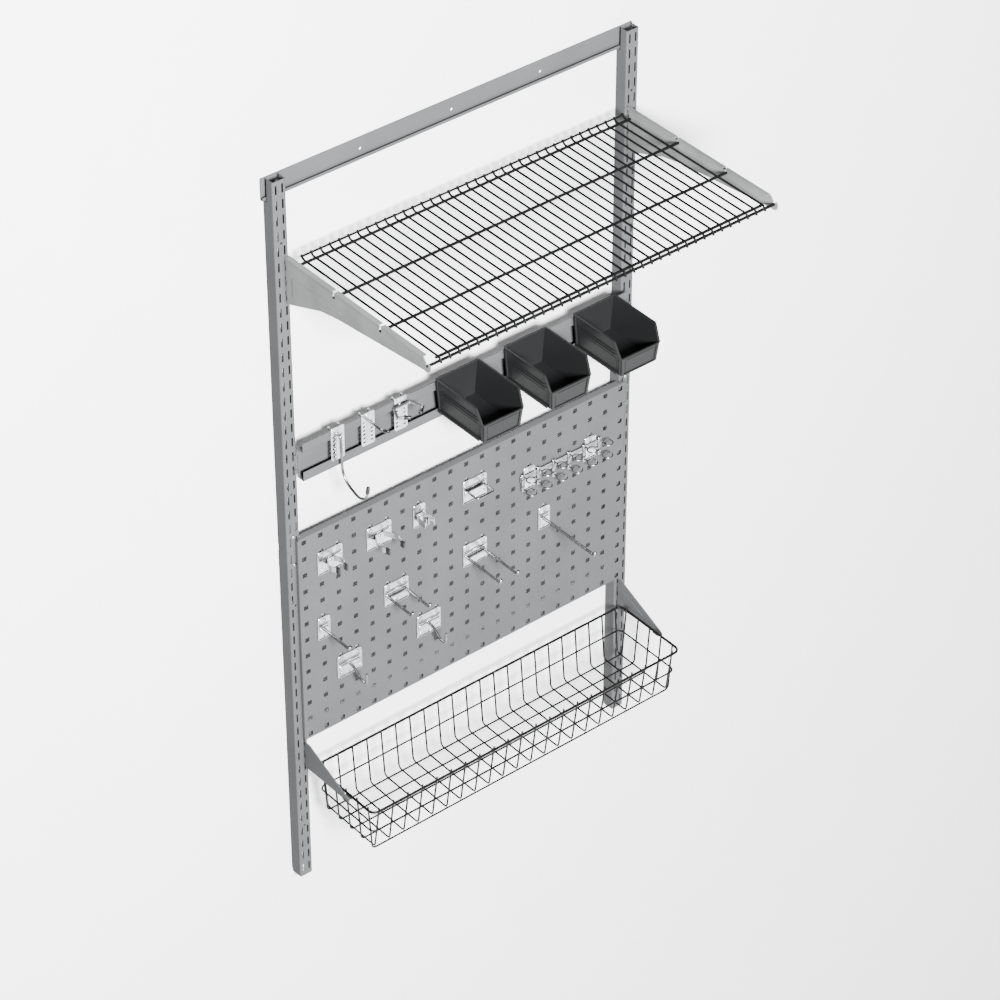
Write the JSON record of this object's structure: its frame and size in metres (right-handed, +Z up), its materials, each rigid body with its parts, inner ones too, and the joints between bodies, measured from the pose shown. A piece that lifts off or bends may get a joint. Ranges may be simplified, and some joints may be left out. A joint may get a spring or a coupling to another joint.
{
  "type": "wall-mounted tool storage frame",
  "caption": "Wall-mounted tool storage frame with slotted uprights, a wire shelf, hanging bins, a pegboard with hooks and clips, and a wire basket.",
  "frame": {"origin": "middle screw hole of the hang rail, at the wall plane", "axes": "X right as seen from the front, Y into the wall, Z up"},
  "size_m": [0.838, 0.4336, 1.6002],
  "materials": {
    "frame": "fine textured powder coat",
    "bracket": "satin powder coat",
    "wire": "satin coat",
    "zinc": "bright zinc plate",
    "plastic": "fine texture",
    "vinyl": "soft dip"
  },
  "bodies": {
    "frame": {"top_hang_rail": "frame", "upper_upright_left": "frame", "lower_upright_left": "frame", "splice_left": "frame", "splice_screw_left_upper": "zinc", "splice_screw_left_lower": "zinc", "shelf_bracket_left": "bracket", "basket_bracket_left": "frame", "upper_upright_right": "frame", "lower_upright_right": "frame", "splice_right": "frame", "splice_screw_right_upper": "zinc", "splice_screw_right_lower": "zinc", "shelf_bracket_right": "bracket", "basket_bracket_right": "frame", "pegboard_panel": "frame", "bin_rail": "frame"},
    "shelf": {"wire_shelf": "wire"},
    "basket": {"wire_basket": "wire"},
    "bin_1": {"bin_1": "plastic"},
    "bin_2": {"bin_2": "plastic"},
    "bin_3": {"bin_3": "plastic"},
    "rail_hook_1": {"rail_hook_1_plate": "zinc", "rail_hook_1_rod": "zinc", "rail_hook_1_tip": "vinyl"},
    "rail_hook_2": {"rail_hook_2_plate": "zinc", "rail_hook_2_rod": "zinc", "rail_hook_2_tip": "vinyl"},
    "rail_hook_3": {"rail_hook_3_plate": "zinc", "rail_hook_3_rod": "zinc", "rail_hook_3_tip_left": "vinyl", "rail_hook_3_tip_right": "vinyl"},
    "clip_a": {"clip_a_plate": "zinc", "clip_a_spring": "zinc", "clip_a_tip_left": "vinyl", "clip_a_tip_right": "vinyl"},
    "clip_b": {"clip_b_plate": "zinc", "clip_b_spring": "zinc", "clip_b_tip_left": "vinyl", "clip_b_tip_right": "vinyl"},
    "clip_c": {"clip_c_plate": "zinc", "clip_c_spring": "zinc"},
    "loop_d": {"loop_d_plate": "zinc", "loop_d_rod": "zinc"},
    "ring_bar_e": {"ring_bar_plate_left": "zinc", "ring_bar_plate_right": "zinc", "ring_bar": "zinc"},
    "prong_f": {"prong_f_plate": "zinc", "prong_f_rod": "zinc"},
    "prong_g": {"prong_g_plate": "zinc", "prong_g_rod": "zinc"},
    "prong_h": {"prong_h_plate": "zinc", "prong_h_rod": "zinc"},
    "prong_i": {"prong_i_plate": "zinc", "prong_i_rod": "zinc"},
    "jay_j": {"jay_j_plate": "zinc", "jay_j_rod": "zinc"},
    "jay_k": {"jay_k_plate": "zinc", "jay_k_rod": "zinc"}
  },
  "joints": [
    {"name": "shelf_lift", "type": "slide", "parent": "frame", "child": "shelf", "axis": [0, 0, 1], "range_m": [0, 0.02]},
    {"name": "basket_lift", "type": "slide", "parent": "frame", "child": "basket", "axis": [0, 0, 1], "range_m": [0, 0.03]},
    {"name": "bin_1_lift", "type": "slide", "parent": "frame", "child": "bin_1", "axis": [0, 0, 1], "range_m": [0, 0.03]},
    {"name": "bin_2_lift", "type": "slide", "parent": "frame", "child": "bin_2", "axis": [0, 0, 1], "range_m": [0, 0.03]},
    {"name": "bin_3_lift", "type": "slide", "parent": "frame", "child": "bin_3", "axis": [0, 0, 1], "range_m": [0, 0.03]},
    {"name": "rail_hook_1_lift", "type": "slide", "parent": "frame", "child": "rail_hook_1", "axis": [0, 0, 1], "range_m": [0, 0.02]},
    {"name": "rail_hook_2_lift", "type": "slide", "parent": "frame", "child": "rail_hook_2", "axis": [0, 0, 1], "range_m": [0, 0.02]},
    {"name": "rail_hook_3_lift", "type": "slide", "parent": "frame", "child": "rail_hook_3", "axis": [0, 0, 1], "range_m": [0, 0.02]},
    {"name": "clip_a_lift", "type": "slide", "parent": "frame", "child": "clip_a", "axis": [0, 0, 1], "range_m": [0, 0.006]},
    {"name": "clip_b_lift", "type": "slide", "parent": "frame", "child": "clip_b", "axis": [0, 0, 1], "range_m": [0, 0.006]},
    {"name": "clip_c_lift", "type": "slide", "parent": "frame", "child": "clip_c", "axis": [0, 0, 1], "range_m": [0, 0.006]},
    {"name": "loop_d_lift", "type": "slide", "parent": "frame", "child": "loop_d", "axis": [0, 0, 1], "range_m": [0, 0.006]},
    {"name": "ring_bar_e_lift", "type": "slide", "parent": "frame", "child": "ring_bar_e", "axis": [0, 0, 1], "range_m": [0, 0.006]},
    {"name": "prong_f_lift", "type": "slide", "parent": "frame", "child": "prong_f", "axis": [0, 0, 1], "range_m": [0, 0.006]},
    {"name": "prong_g_lift", "type": "slide", "parent": "frame", "child": "prong_g", "axis": [0, 0, 1], "range_m": [0, 0.006]},
    {"name": "prong_h_lift", "type": "slide", "parent": "frame", "child": "prong_h", "axis": [0, 0, 1], "range_m": [0, 0.006]},
    {"name": "prong_i_lift", "type": "slide", "parent": "frame", "child": "prong_i", "axis": [0, 0, 1], "range_m": [0, 0.006]},
    {"name": "jay_j_lift", "type": "slide", "parent": "frame", "child": "jay_j", "axis": [0, 0, 1], "range_m": [0, 0.006]},
    {"name": "jay_k_lift", "type": "slide", "parent": "frame", "child": "jay_k", "axis": [0, 0, 1], "range_m": [0, 0.006]}
  ]
}
